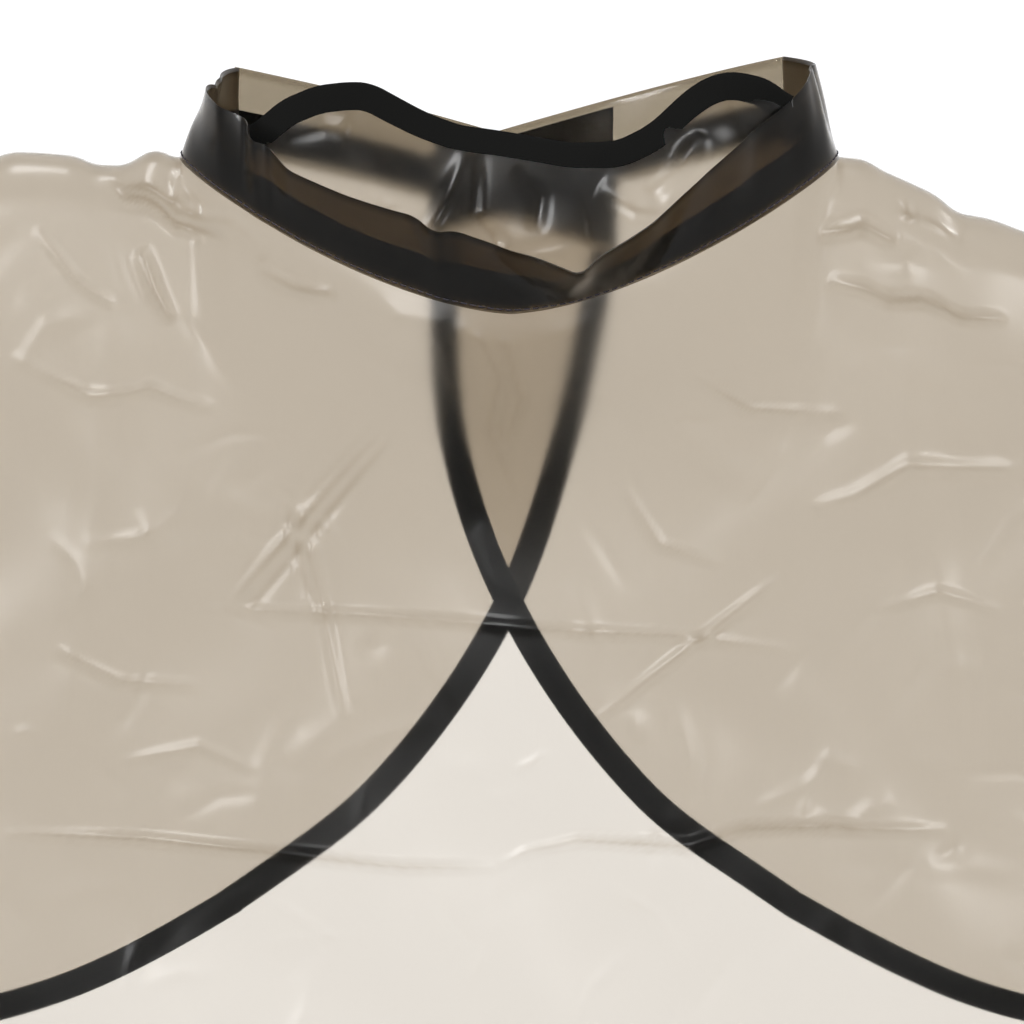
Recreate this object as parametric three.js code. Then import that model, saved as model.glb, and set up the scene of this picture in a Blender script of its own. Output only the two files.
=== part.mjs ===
// Barber cape of frosted vinyl film with black bound edges, hanging as it does on a
// slim shoulder form. Millimetres, +Z up, the front faces -Y, +X is to the right.
// The origin is the centre of the neck seam, level with its two sides.
import * as THREE from 'three';

// ---- driving sizes: the flat cut of the film -------------------------------------------
const HALF_WIDTH = 570; // centre line to side edge
const FRONT_LENGTH = 1000; // shoulder fold to front hem
const BACK_LENGTH = 312; // shoulder fold to the back edge
const FRONT_CORNER_RADIUS = 150;
const BACK_CORNER_RADIUS = 140;

// ---- driving sizes: how it hangs -------------------------------------------------------
const SHOULDER_HALF_WIDTH = 235; // where the shoulder form ends and the sides fall
const SHOULDER_DROP = 35; // neck side to the end of the shoulder
const SHOULDER_CURVE = 1.2; // 1 would be a straight slope
const SHOULDER_ROLL = 20; // radius of the film over the shoulder
const FLUTES_AT_SHOULDER = 3; // whole folds that radiate from each shoulder end
const FLUTES_AT_HEM = 1.76; // folds across each side at the front hem
const FLUTE_LENGTH = (HALF_WIDTH - SHOULDER_HALF_WIDTH) / FLUTES_AT_HEM;
const FLUTE_SPREAD = 0.5; // how far a fold swings out for each unit it falls
const FLUTE_LIMIT = 130; // keeps the long folds from swinging out further
const HEM_FLUTE_SHARE = 0.6; // depth of the folds at the hem against those at the shoulder
const FLUTES_MERGE_FROM = 200; // between these two drops the radiating folds turn upright
const FLUTES_MERGE_TO = 800;
const HEM_FLARE = 0.34; // how far the sides stand out at the hem, for each unit of film
const HEM_FLARE_LENGTH = 500; // film below the shoulder at which the sides stand out fully
const FLUTE_FLOOR = 0.65; // keeps the hollows between the folds apart from each other
const FLUTE_HOLD_PHASE = 0.4; // share of the first fold in which the floor sets in
const FLUTE_HOLD_TURN = 0.87; // share of the turn to the back after which it ends
const FALL_START_SHARE = 0.015; // where the falls' film starts, off the shoulder's end
const FALL_MARGIN = 50; // the last step of the film inside the cut edge
const FRONT_REST_DEPTH = 4; // how far the film hangs in front of the form's middle
const FRONT_SIDE_DEPTH = 6; // the same below the shoulders, with a bulge added at the top
const FRONT_BULGE = 14;
const FRONT_BULGE_DROP = 40;
const FRONT_BULGE_LENGTH = 120;
const FRONT_MIDDLE_SHARE = 0.16; // shares of the neck's half width between which the front
const FRONT_SIDE_SHARE = 1.12; // film goes from the middle's depth to the sides'
const FRONT_SETTLING = 55; // film it takes to settle from the collar to that depth
const FRONT_WAVE = 7; // swing of the soft waves at the front hem
const FRONT_WAVE_START = 350; // drop at which the waves begin
const BACK_REST_DEPTH = 7; // how far the back hangs behind the form's middle
const BACK_SETTLING = 70;
const BACK_SEAM_SETTLING = 40; // the same for the curve of the seam itself

// ---- driving sizes: neck seam, collar and closure --------------------------------------
const NECK_HALF_WIDTH = 125;
const NECK_HALF_DEPTH = 50;
const FRONT_NECK_DROP = 51;
const NECK_CURVE = 1.55; // 1 would be a straight V, 2 a parabola
const COLLAR_HEIGHT = 34;
const COLLAR_TAPE_WIDTH = 16;
const HINGE_INSET = 20; // from the neck's side in to the line on which a back flap opens
const HINGE_X = NECK_HALF_WIDTH - HINGE_INSET;
const LEFT_SEAM_AT_HINGE = -3; // height of the collar seam where the left strap starts
const RIGHT_SEAM_AT_HINGE = 1;
const STRAP_SLOPE = 0.296; // fall of each strap towards the middle of the back
const LEFT_STRAP_END = 42; // x of the left strap's end, past the middle
const RIGHT_STRAP_END = -31;
const CROSSING_DROP = 185; // where the two back edges cross, below the origin
const FOLD_RUN_ON = 6; // how far below the back edge the fold line's slope is drawn to
const FOLD_EDGE_RISE = 49; // how much higher the back edge is at the hinge than at its end
const EDGE_AT_FOLD = FOLD_EDGE_RISE - SHOULDER_DROP - BACK_LENGTH;
const UPPER_EDGE_X = -26; // the edge passes here on the far side of the middle
const UPPER_EDGE_SHARE = 0.62; // at this share of the crossing's drop
const LOWER_EDGE_REACH = 0.48; // share of the way out to the hinge
const LOWER_EDGE_SHARE = 0.63; // share of the way down from the crossing to the hinge
const STEP_START = 5; // from the hinge, where the outer strap begins to stand out
const STEP_END = 15; // from the inner strap's end, where it stands out fully
const PATCH_LENGTH = 71;
const PATCH_HEIGHT = 20;
const LEFT_PATCH_INSET = 1.5; // below the strap's top edge
const RIGHT_PATCH_INSET = 3.5;
const GUARD_RISE = 13; // height of the neck guard's edge in the middle
const GUARD_LOBE_RISE = 23; // how much higher its two lobes stand
const GUARD_LOBE_X = NECK_HALF_WIDTH - 40; // where the lobes are highest
const GUARD_END_X = NECK_HALF_WIDTH - 18;
const GUARD_END_FALL = 9; // how much lower the guard's ends are than its lobes
const GUARD_CLEARANCE = 1; // more room between it and the collar's inside
const GUARD_LEAN = 30; // how far its top edge stands inside the front of the collar

// ---- driving sizes: thicknesses and gaps -----------------------------------------------
const FILM = 0.8;
const PLY = 0.5;
const COLLAR_TAPE = 0.5;
const PATCH = 1;
const BINDING = 1.8;
const BINDING_WIDTH = 10;
const THREAD = 0.6;
const THREAD_ABOVE_SEAM = 2.5;
const TAPE_ABOVE_SEAM = 1;
const FRONT_ROW_GROWTH = 1.6; // above 1 sets the rows of film closer near the seam
const BACK_ROW_GROWTH = 1.4;
const FLAP_END = 0.9; // share of a flap's edge at which it meets the panel's
const GAP = 0.3; // between pieces that touch on the real cape
const SEAM_GAP = 0.8; // between the front film and the collar sewn to it
const FOLD_GAP = 1; // between pieces on the two sides of a fold line
const BINDING_GAP = 2; // between the film and its binding
const PARTING_SHARE = 0.06; // of one step of the side's outline, between its two falls

// Offsets of the layers from the middle of a doubled band, outwards positive.
const PLY_INNER_FACE = COLLAR_TAPE / 2 + GAP;
const BAND_FACE = PLY_INNER_FACE + PLY;
const STRAP_STEP = 2 * (BAND_FACE + PATCH) + 3 * GAP; // outer strap's middle, from the inner's

// ---- materials -------------------------------------------------------------------------
function finish(color, roughness, opacity = 1) {
  return new THREE.MeshStandardMaterial({
    color,
    roughness,
    metalness: 0,
    opacity,
    transparent: opacity < 1,
    side: THREE.DoubleSide,
  });
}
const filmFinish = () => finish(0xcfc6b4, 0.3, 0.55);
const collarFinish = () => finish(0x8f8576, 0.25, 0.7);
const tapeFinish = () => finish(0x17171a, 0.75);
const patchFinish = () => finish(0x1d1d1e, 0.9);
const threadFinish = () => finish(0x101012, 0.6);

// ---- curve helpers ---------------------------------------------------------------------
const lerp = (a, b, t) => a + (b - a) * t;

function smooth(low, high, value) {
  const t = Math.min(Math.max((value - low) / (high - low), 0), 1);
  return t * t * (3 - 2 * t);
}

// Depth of the neck seam from its centre line at a given x, an ellipse seen from above.
function neckDepth(x) {
  const share = Math.min(Math.abs(x) / NECK_HALF_WIDTH, 1);
  return NECK_HALF_DEPTH * Math.sqrt(1 - share * share);
}

// Height of the neck seam in front: level with the origin at the sides, low in the middle.
function frontSeamHeight(x) {
  const share = Math.min(Math.abs(x) / NECK_HALF_WIDTH, 1);
  return -FRONT_NECK_DROP * (1 - share ** NECK_CURVE);
}

// Height of the neck seam behind, on the strap that starts on the given side (-1 left).
function backSeamHeight(x, side) {
  const start = side < 0 ? LEFT_SEAM_AT_HINGE : RIGHT_SEAM_AT_HINGE;
  const run = HINGE_X - side * x;
  if (run >= 0) return start - STRAP_SLOPE * run;
  return lerp(start, 0, -run / (NECK_HALF_WIDTH - HINGE_X));
}

// The shoulder fold falls away from the neck's side to the shoulder's end.
function shoulderHeight(x) {
  const run = Math.max(Math.abs(x) - NECK_HALF_WIDTH, 0);
  return -SHOULDER_DROP * (run / (SHOULDER_HALF_WIDTH - NECK_HALF_WIDTH)) ** SHOULDER_CURVE;
}

// How far the film has moved from the seam's depth to the depth at which it hangs, 0 to 1:
// slowly in the middle of the neck, and in one roll over the shoulder.
function settled(x, below, length) {
  const roll = Math.sqrt(1 - (1 - Math.min(below / SHOULDER_ROLL, 1)) ** 2);
  const slow = 1 - Math.exp(-((below / length) ** 2));
  return lerp(slow, roll, smooth(HINGE_X, NECK_HALF_WIDTH, Math.abs(x)));
}

// Distance of the front film in front of the form's middle, at a place below the seam.
function frontDepth(x, z) {
  const start = Math.abs(x) < NECK_HALF_WIDTH ? frontSeamHeight(x) : shoulderHeight(x);
  const share = settled(x, Math.max(start - z, 0), FRONT_SETTLING);
  const sideShare = smooth(FRONT_MIDDLE_SHARE, FRONT_SIDE_SHARE, Math.abs(x) / NECK_HALF_WIDTH);
  const bulge = FRONT_BULGE * Math.exp(-(((z + FRONT_BULGE_DROP) / FRONT_BULGE_LENGTH) ** 2));
  const hanging = lerp(FRONT_REST_DEPTH, FRONT_SIDE_DEPTH + bulge, sideShare);
  const swing = FRONT_WAVE * smooth(FRONT_WAVE_START, FRONT_LENGTH, -z);
  const waves = swing * Math.cos((2 * Math.PI * x) / FLUTE_LENGTH);
  return lerp(Math.max(neckDepth(x), FOLD_GAP / 2), hanging + waves, share);
}

// The straight fold line that a back flap opens on, from the seam to the back edge.
const FOLD_TOP = neckDepth(HINGE_X);
const FOLD_LOW = BACK_REST_DEPTH + FOLD_GAP;
const FOLD_LENGTH = FOLD_RUN_ON - EDGE_AT_FOLD;
const foldDepth = (z) => lerp(FOLD_TOP, FOLD_LOW, Math.max(-z, 0) / FOLD_LENGTH);

// Distance of the back film behind the form's middle.
function backDepth(x, z) {
  const side = x < 0 ? -1 : 1;
  const reach = Math.abs(x);
  if (reach <= HINGE_X) {
    const below = Math.max(backSeamHeight(x, side) - z, 0);
    const held = Math.exp(-((below / BACK_SETTLING) ** 2));
    const middle = lerp(BACK_REST_DEPTH, NECK_HALF_DEPTH, held);
    const share = smooth(0, HINGE_X, reach);
    const curved = neckDepth(x) - lerp(NECK_HALF_DEPTH, FOLD_TOP, share);
    const curve = curved * Math.exp(-((below / BACK_SEAM_SETTLING) ** 2));
    return lerp(middle, foldDepth(z), share) + curve;
  }
  const top = reach < NECK_HALF_WIDTH ? backSeamHeight(x, side) : shoulderHeight(x);
  const start = Math.max(neckDepth(x), FOLD_GAP / 2);
  return lerp(start, foldDepth(z), settled(x, Math.max(top - z, 0), SHOULDER_ROLL));
}

// How far the outer flap, on the left, stands behind the inner one where they overlap.
function outerStep(x) {
  return STRAP_STEP * smooth(STEP_START - HINGE_X, RIGHT_STRAP_END - STEP_END, x);
}

// ---- mesh helpers ----------------------------------------------------------------------
// Unit normals of a grid of points, from its rows and columns.
function gridNormals(grid) {
  const last = grid.length - 1;
  return grid.map((row, i) => row.map((_, j) => {
    const along = grid[Math.min(i + 1, last)][j].clone().sub(grid[Math.max(i - 1, 0)][j]);
    const across = row[Math.min(j + 1, row.length - 1)].clone().sub(row[Math.max(j - 1, 0)]);
    return along.cross(across).normalize();
  }));
}

// A closed sheet between two offsets from a grid of points, measured along its normals.
function sheetGeometry(grid, low, high, normals = gridNormals(grid)) {
  const rows = grid.length;
  const columns = grid[0].length;
  const positions = [];
  for (const offset of [high, low]) {
    grid.forEach((row, i) => row.forEach((point, j) => {
      positions.push(...point.clone().addScaledVector(normals[i][j], offset).toArray());
    }));
  }
  const at = (face, i, j) => face * rows * columns + i * columns + j;
  const indices = [];
  const quad = (a, b, c, d) => indices.push(a, b, c, a, c, d);
  for (let i = 0; i < rows - 1; i += 1) {
    for (let j = 0; j < columns - 1; j += 1) {
      quad(at(0, i, j), at(0, i + 1, j), at(0, i + 1, j + 1), at(0, i, j + 1));
      indices.push(at(1, i, j), at(1, i + 1, j + 1), at(1, i + 1, j));
      indices.push(at(1, i, j), at(1, i, j + 1), at(1, i + 1, j + 1));
    }
    quad(at(0, i + 1, 0), at(0, i, 0), at(1, i, 0), at(1, i + 1, 0));
    quad(at(0, i, columns - 1), at(0, i + 1, columns - 1), at(1, i + 1, columns - 1), at(1, i, columns - 1));
  }
  for (let j = 0; j < columns - 1; j += 1) {
    quad(at(0, 0, j), at(0, 0, j + 1), at(1, 0, j + 1), at(1, 0, j));
    quad(at(0, rows - 1, j + 1), at(0, rows - 1, j), at(1, rows - 1, j), at(1, rows - 1, j + 1));
  }
  const geometry = new THREE.BufferGeometry();
  geometry.setAttribute('position', new THREE.Float32BufferAttribute(positions, 3));
  geometry.setIndex(indices);
  geometry.computeVertexNormals();
  return geometry;
}

const group = new THREE.Group();

function addSheet(name, material, grid, low, high, normals) {
  const mesh = new THREE.Mesh(sheetGeometry(grid, low, high, normals), material);
  mesh.name = name;
  group.add(mesh);
}

// Film with a bound edge: each row of the grid ends in the binding's two edges.
function addBoundFilm(filmName, bindingName, grid, normals = gridNormals(grid)) {
  const film = (rows) => rows.map((row) => row.slice(0, -2));
  const binding = (rows) => rows.map((row) => row.slice(-2));
  addSheet(filmName, filmFinish(), film(grid), -FILM / 2, FILM / 2, film(normals));
  addSheet(bindingName, tapeFinish(), binding(grid), -BINDING / 2, BINDING / 2, binding(normals));
}

// Evenly spaced values from first to last.
function steps(first, last, count) {
  return Array.from({ length: count + 1 }, (_, i) => lerp(first, last, i / count));
}

// ---- front film ------------------------------------------------------------------------
// One column of the front: w is the film's length below the level of the origin.
function frontPoint(x, w) {
  return new THREE.Vector3(x, -frontDepth(x, -w), -w);
}

function frontTop(x) {
  if (Math.abs(x) < NECK_HALF_WIDTH) return -frontSeamHeight(x) + SEAM_GAP;
  return -shoulderHeight(x) + GAP;
}

function frontSheet() {
  const filmEnd = FRONT_LENGTH - BINDING_WIDTH - BINDING_GAP;
  const grid = steps(-SHOULDER_HALF_WIDTH, SHOULDER_HALF_WIDTH, 24).map((x) => [
    ...steps(0, 1, 12).map((share) => frontPoint(x, lerp(frontTop(x), filmEnd, share ** FRONT_ROW_GROWTH))),
    frontPoint(x, FRONT_LENGTH - BINDING_WIDTH),
    frontPoint(x, FRONT_LENGTH),
  ]);
  addBoundFilm('front_sheet', 'hem_binding', grid);
}

// ---- sides that fall from the shoulder ends ---------------------------------------------
// The flat outline beyond the shoulder's end, from the front hem round to the back edge,
// as (across, along): across is measured from the shoulder's end, along is + in front.
// It is drawn the given distance inside the cut edge.
function sideOutline(inside) {
  const reach = HALF_WIDTH - SHOULDER_HALF_WIDTH;
  const front = FRONT_LENGTH - SHOULDER_DROP;
  const frontCentre = new THREE.Vector2(reach - FRONT_CORNER_RADIUS, front - FRONT_CORNER_RADIUS);
  const backCentre = new THREE.Vector2(reach - BACK_CORNER_RADIUS, BACK_CORNER_RADIUS - BACK_LENGTH);
  const line = (from, to, count) => steps(0, 1, count).map((t) => from.clone().lerp(to, t));
  const arc = (centre, radius, first, last, count) => steps(first, last, count).map((angle) => (
    new THREE.Vector2(Math.cos(angle), Math.sin(angle)).multiplyScalar(radius).add(centre)
  ));
  const frontArc = arc(frontCentre, FRONT_CORNER_RADIUS - inside, Math.PI / 2, 0, 5);
  const backArc = arc(backCentre, BACK_CORNER_RADIUS - inside, 0, -Math.PI / 2, 7);
  const start = new THREE.Vector2(0, front - inside);
  const end = new THREE.Vector2(0, inside - BACK_LENGTH);
  return [
    ...line(start, frontArc[0], 5).slice(0, -1),
    ...frontArc,
    ...line(frontArc.at(-1), backArc[0], 16).slice(1, -1),
    ...backArc,
    ...line(backArc.at(-1), end, 5).slice(1),
  ];
}

// A point of the falling side: the film hangs from the shoulder's end in folds.
function sidePoint(side, across, along) {
  const fall = Math.max(Math.hypot(across, along), 1e-6);
  const turn = (Math.PI / 2 - Math.atan2(along, across)) / Math.PI;
  const low = smooth(FLUTES_MERGE_FROM, FLUTES_MERGE_TO, along);
  const phase = lerp(FLUTES_AT_SHOULDER * turn, across / FLUTE_LENGTH, low);
  const swing = lerp(1, HEM_FLUTE_SHARE, low) / (1 / (FLUTE_SPREAD * fall) + 1 / FLUTE_LIMIT);
  const held = FLUTE_FLOOR * smooth(0, FLUTE_HOLD_PHASE, phase) * (1 - smooth(FLUTE_HOLD_TURN, 1, turn));
  const out = swing * lerp((1 - Math.cos(2 * Math.PI * phase)) / 2, 1, held);
  const heading = Math.PI * (turn - 0.5);
  const z = -SHOULDER_DROP - Math.sqrt(fall * fall - out * out);
  const front = -frontDepth(SHOULDER_HALF_WIDTH, z);
  const back = backDepth(SHOULDER_HALF_WIDTH, z);
  const spread = HEM_FLARE * across * smooth(0, HEM_FLARE_LENGTH, along);
  const x = SHOULDER_HALF_WIDTH + FOLD_GAP + spread + out * Math.cos(heading);
  const y = lerp(front, back, smooth(0, 1, turn)) + out * Math.sin(heading);
  return new THREE.Vector3(side * x, y, z);
}

// Film along rays from the shoulder's end to the outline, and the binding outside it. Its
// front and back falls meet below the shoulder's end.
function sideDrape(side, label) {
  const cutEdge = sideOutline(0);
  const place = (flat) => sidePoint(side, flat.x, flat.y);
  const grid = sideOutline(FALL_MARGIN).map((flat, i) => {
    const shares = steps(FALL_START_SHARE, 1, 10);
    const ray = shares.map((share) => place(flat.clone().multiplyScalar(share)));
    const edge = place(cutEdge[i]);
    const inwards = ray.at(-1).clone().sub(edge).normalize();
    return [
      ...ray,
      edge.clone().addScaledVector(inwards, BINDING_WIDTH + BINDING_GAP),
      edge.clone().addScaledVector(inwards, BINDING_WIDTH),
      edge,
    ];
  });
  const normals = gridNormals(grid);
  const parting = cutEdge.findIndex((flat) => flat.y < 0);
  const backStart = grid[parting].map((point, j) => (
    point.clone().lerp(grid[parting + 1][j], PARTING_SHARE)
  ));
  const fall = (part, rows, itsNormals) => addBoundFilm(
    `${label}_${part}_fall`,
    `${label}_${part}_fall_binding`,
    rows,
    itsNormals,
  );
  fall('front', grid.slice(0, parting + 1), normals.slice(0, parting + 1));
  fall('back', [backStart, ...grid.slice(parting + 1)], normals.slice(parting));
}

// ---- back film ---------------------------------------------------------------------------
// The bound edge of a back half, as (x, height) from the strap's end, across the other
// edge and out to the fold line. Written for the right half; the left is its mirror.
function backEdge(side, strapEnd) {
  return new THREE.CatmullRomCurve3([
    new THREE.Vector3(strapEnd, 0, backSeamHeight(side * strapEnd, side) - GAP),
    new THREE.Vector3(UPPER_EDGE_X, 0, -UPPER_EDGE_SHARE * CROSSING_DROP),
    new THREE.Vector3(0, 0, -CROSSING_DROP),
    new THREE.Vector3(
      LOWER_EDGE_REACH * HINGE_X,
      0,
      lerp(-CROSSING_DROP, EDGE_AT_FOLD, LOWER_EDGE_SHARE),
    ),
    new THREE.Vector3(HINGE_X, 0, EDGE_AT_FOLD),
  ], false, 'centripetal');
}

// Height of the bound edge between the fold line and the shoulder's end.
function outerEdgeHeight(reach) {
  const share = (reach - HINGE_X) / (SHOULDER_HALF_WIDTH - HINGE_X);
  const end = -SHOULDER_DROP - BACK_LENGTH;
  return lerp(EDGE_AT_FOLD, end, Math.sin((share * Math.PI) / 2));
}

function backPanel(side, label) {
  const first = HINGE_X + FOLD_GAP / 2;
  const columns = steps(first, SHOULDER_HALF_WIDTH, 8);
  const point = (reach, z) => new THREE.Vector3(side * reach, backDepth(side * reach, z), z);
  const top = (reach) => {
    if (reach < NECK_HALF_WIDTH) return backSeamHeight(side * reach, side) - GAP;
    return shoulderHeight(reach) - GAP;
  };
  const grid = columns.map((reach) => {
    const edge = outerEdgeHeight(reach);
    const end = edge + BINDING_WIDTH + BINDING_GAP;
    return [
      ...steps(0, 1, 8).map((share) => point(reach, lerp(top(reach), end, share ** BACK_ROW_GROWTH))),
      point(reach, edge + BINDING_WIDTH),
      point(reach, edge),
    ];
  });
  addBoundFilm(`${label}_back_panel`, `${label}_lower_back_binding`, grid);
}

// The part of a back half that swings open, between its bound edge and the fold line.
function backFlap(side, label, strapEnd) {
  const curve = backEdge(side, strapEnd);
  const step = (x) => (side < 0 ? outerStep(x) : 0);
  const place = (x, z) => new THREE.Vector3(side * x, backDepth(side * x, z) + step(side * x), z);
  const foldX = HINGE_X - FOLD_GAP / 2;
  const top = backSeamHeight(side * HINGE_X, side) - GAP;
  const grid = steps(0, FLAP_END, 18).map((share) => {
    const rim = curve.getPoint(share);
    const fold = new THREE.Vector3(foldX, 0, lerp(top, EDGE_AT_FOLD, share));
    const width = rim.distanceTo(fold);
    const between = (distance) => {
      const spot = rim.clone().lerp(fold, distance / width);
      return place(spot.x, spot.z);
    };
    const start = BINDING_WIDTH + BINDING_GAP;
    return [
      ...steps(width, start, 8).map(between),
      between(BINDING_WIDTH),
      between(0),
    ];
  });
  addBoundFilm(`${label}_back_flap`, `${label}_back_edge_binding`, grid);
}

// ---- collar --------------------------------------------------------------------------------
const FOLD_TURN = Math.PI - Math.asin(HINGE_X / NECK_HALF_WIDTH);

// A point of the collar's middle surface: turn is 0 in front and rises to the right.
function collarPoint(turn, above) {
  const x = NECK_HALF_WIDTH * Math.sin(turn);
  const y = -NECK_HALF_DEPTH * Math.cos(turn);
  const behind = Math.abs(turn) > Math.PI / 2;
  const seam = behind ? backSeamHeight(x, Math.sign(turn)) : frontSeamHeight(x);
  return new THREE.Vector3(x, y, seam + above);
}

// The normals of a band point away from the neck.
function bandGrid(points, low, high) {
  return points.map((point) => [point(low), point(high)]);
}

function addBand(label, points) {
  const outer = bandGrid(points, 0, COLLAR_HEIGHT);
  const tape = bandGrid(points, TAPE_ABOVE_SEAM, COLLAR_TAPE_WIDTH);
  const thread = bandGrid(points, THREAD_ABOVE_SEAM, THREAD_ABOVE_SEAM + THREAD);
  addSheet(`${label}_outer_ply`, collarFinish(), outer, PLY_INNER_FACE, BAND_FACE);
  addSheet(`${label}_inner_ply`, collarFinish(), outer, -BAND_FACE, -PLY_INNER_FACE);
  addSheet(`${label}_tape`, tapeFinish(), tape, -COLLAR_TAPE / 2, COLLAR_TAPE / 2);
  addSheet(`${label}_thread`, threadFinish(), thread, BAND_FACE + GAP, BAND_FACE + GAP + THREAD);
}

function collar() {
  const end = FOLD_TURN - FOLD_GAP / 2 / NECK_HALF_WIDTH;
  addBand('collar', steps(-end, end, 40).map((turn) => (above) => collarPoint(turn, above)));
}

// ---- straps and patches that close the neck behind --------------------------------------------
function strapPoint(side, x, above) {
  const y = neckDepth(x) + (side < 0 ? outerStep(x) : 0);
  return new THREE.Vector3(x, y, backSeamHeight(x, side) + above);
}

// x runs to the left, so that the normals point backwards, away from the neck.
function strap(side, label, end) {
  const first = side * (HINGE_X - FOLD_GAP / 2);
  const run = side < 0 ? steps(end, first, 16) : steps(first, end, 16);
  addBand(label, run.map((x) => (above) => strapPoint(side, x, above)));
}

function patch(side, name, end, inset) {
  const other = end + side * PATCH_LENGTH;
  const run = side < 0 ? steps(end, other, 6) : steps(other, end, 6);
  const high = COLLAR_HEIGHT - inset;
  const grid = bandGrid(run.map((x) => (above) => strapPoint(side, x, above)), high - PATCH_HEIGHT, high);
  const near = BAND_FACE + GAP;
  const offsets = side < 0 ? [-near - PATCH, -near] : [near, near + PATCH];
  addSheet(name, patchFinish(), grid, ...offsets);
}

// ---- neck guard ------------------------------------------------------------------------------
// A film strip sewn inside the front of the collar; share is 0 at the seam, 1 at its edge.
function guardEdgeHeight(x) {
  const reach = Math.abs(x);
  if (reach < GUARD_LOBE_X) {
    return GUARD_RISE + (GUARD_LOBE_RISE * (1 - Math.cos((Math.PI * reach) / GUARD_LOBE_X))) / 2;
  }
  const share = (reach - GUARD_LOBE_X) / (GUARD_END_X - GUARD_LOBE_X);
  return GUARD_RISE + GUARD_LOBE_RISE - GUARD_END_FALL * share ** 2;
}

function guardPoint(x, share) {
  const inside = BAND_FACE + GAP + FILM;
  const low = frontSeamHeight(x) + THREAD_ABOVE_SEAM;
  const lowY = -neckDepth(x) + inside + GUARD_CLEARANCE;
  const highY = Math.max(GUARD_LEAN - NECK_HALF_DEPTH, lowY + GUARD_CLEARANCE);
  return new THREE.Vector3(x, lerp(lowY, highY, share), lerp(low, guardEdgeHeight(x), share));
}

function neckGuard() {
  const columns = steps(-GUARD_END_X, GUARD_END_X, 26);
  const height = (x) => guardPoint(x, 0).distanceTo(guardPoint(x, 1));
  const grid = columns.map((x) => [
    ...steps(0, height(x) - BINDING_WIDTH - BINDING_GAP, 4),
    height(x) - BINDING_WIDTH,
    height(x),
  ].map((distance) => guardPoint(x, distance / height(x))));
  addBoundFilm('neck_guard', 'neck_guard_binding', grid);
}

// ---- the cape --------------------------------------------------------------------------------
frontSheet();
sideDrape(-1, 'left');
sideDrape(1, 'right');
backPanel(-1, 'left');
backPanel(1, 'right');
backFlap(-1, 'left', -LEFT_STRAP_END);
backFlap(1, 'right', RIGHT_STRAP_END);
collar();
strap(-1, 'left_strap', LEFT_STRAP_END);
strap(1, 'right_strap', RIGHT_STRAP_END);
patch(-1, 'hook_patch', LEFT_STRAP_END, LEFT_PATCH_INSET);
patch(1, 'loop_patch', RIGHT_STRAP_END, RIGHT_PATCH_INSET);
neckGuard();

export default group;
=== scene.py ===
import math

import bpy
import numpy as np
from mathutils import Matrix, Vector


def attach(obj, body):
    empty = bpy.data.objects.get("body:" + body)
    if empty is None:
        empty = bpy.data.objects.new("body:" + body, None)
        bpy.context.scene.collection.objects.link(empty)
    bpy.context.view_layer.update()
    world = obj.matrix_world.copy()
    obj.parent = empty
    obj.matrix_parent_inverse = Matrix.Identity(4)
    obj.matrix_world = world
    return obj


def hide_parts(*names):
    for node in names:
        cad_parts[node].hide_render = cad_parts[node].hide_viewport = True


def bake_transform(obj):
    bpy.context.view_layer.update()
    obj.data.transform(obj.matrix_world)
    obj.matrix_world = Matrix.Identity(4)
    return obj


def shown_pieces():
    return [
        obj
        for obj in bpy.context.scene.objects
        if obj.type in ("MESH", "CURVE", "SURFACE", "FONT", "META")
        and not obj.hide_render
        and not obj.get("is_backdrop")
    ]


bl_info = {
    "name": "Barber cape",
    "version": (1, 0, 0),
    "blender": (4, 5, 0),
    "location": "3D View > Sidebar > Cape",
    "description": "Builds a hanging barber cape of frosted film with bound edges",
    "category": "Object",
}

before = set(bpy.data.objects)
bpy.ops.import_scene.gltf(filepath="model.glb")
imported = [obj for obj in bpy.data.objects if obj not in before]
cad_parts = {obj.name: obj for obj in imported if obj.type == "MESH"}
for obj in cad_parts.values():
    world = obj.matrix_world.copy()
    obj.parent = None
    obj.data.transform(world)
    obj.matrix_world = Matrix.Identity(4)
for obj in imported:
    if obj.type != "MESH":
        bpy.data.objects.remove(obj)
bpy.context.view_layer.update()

# Sizes of the cape in millimetres, in the frame of the CAD part.
MM = 0.001
FRONT_LENGTH = 1000.0
BACK_LENGTH = 312.0
HALF_WIDTH = 570.0
FRONT_CORNER = 150.0
BACK_CORNER = 140.0
SHOULDER_X = 235.0
SHOULDER_DROP = 35.0
SHOULDER_ROLL = 20.0
SHOULDER_CURVE = 1.2

# Neck seam, straps and patches. A dictionary's keys are the sides, -1 left and 1 right.
NECK_X = 125.0
NECK_Y = 50.0
NECK_DROP = 51.0
NECK_CURVE = 1.55
HINGE_X = 105.0
SEAM_AT_HINGE = {-1: -3.0, 1: 1.0}
STRAP_SLOPE = 0.296
STRAP_ENDS = {-1: -42.0, 1: -31.0}
STRAP_STEP = 5.0
STRAP_HEIGHT = 34.0
BAND_GAP = 0.55
BAND_THICKNESS = 0.25
TAPE_LOW = 3.2
TAPE_HIGH = 17.5
TAPE_THICKNESS = 0.4
STITCHES_ABOVE_SEAM = 2.0
STITCHES_SHARE = 0.06
STITCHES_OUT = 0.75
STITCH_PITCH = 3.4
PATCH_LENGTH = 71.0
PATCH_HEIGHT = 20.0
PATCH_OFFSET = 1.7
PATCH_THICKNESS = 1.1

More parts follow.
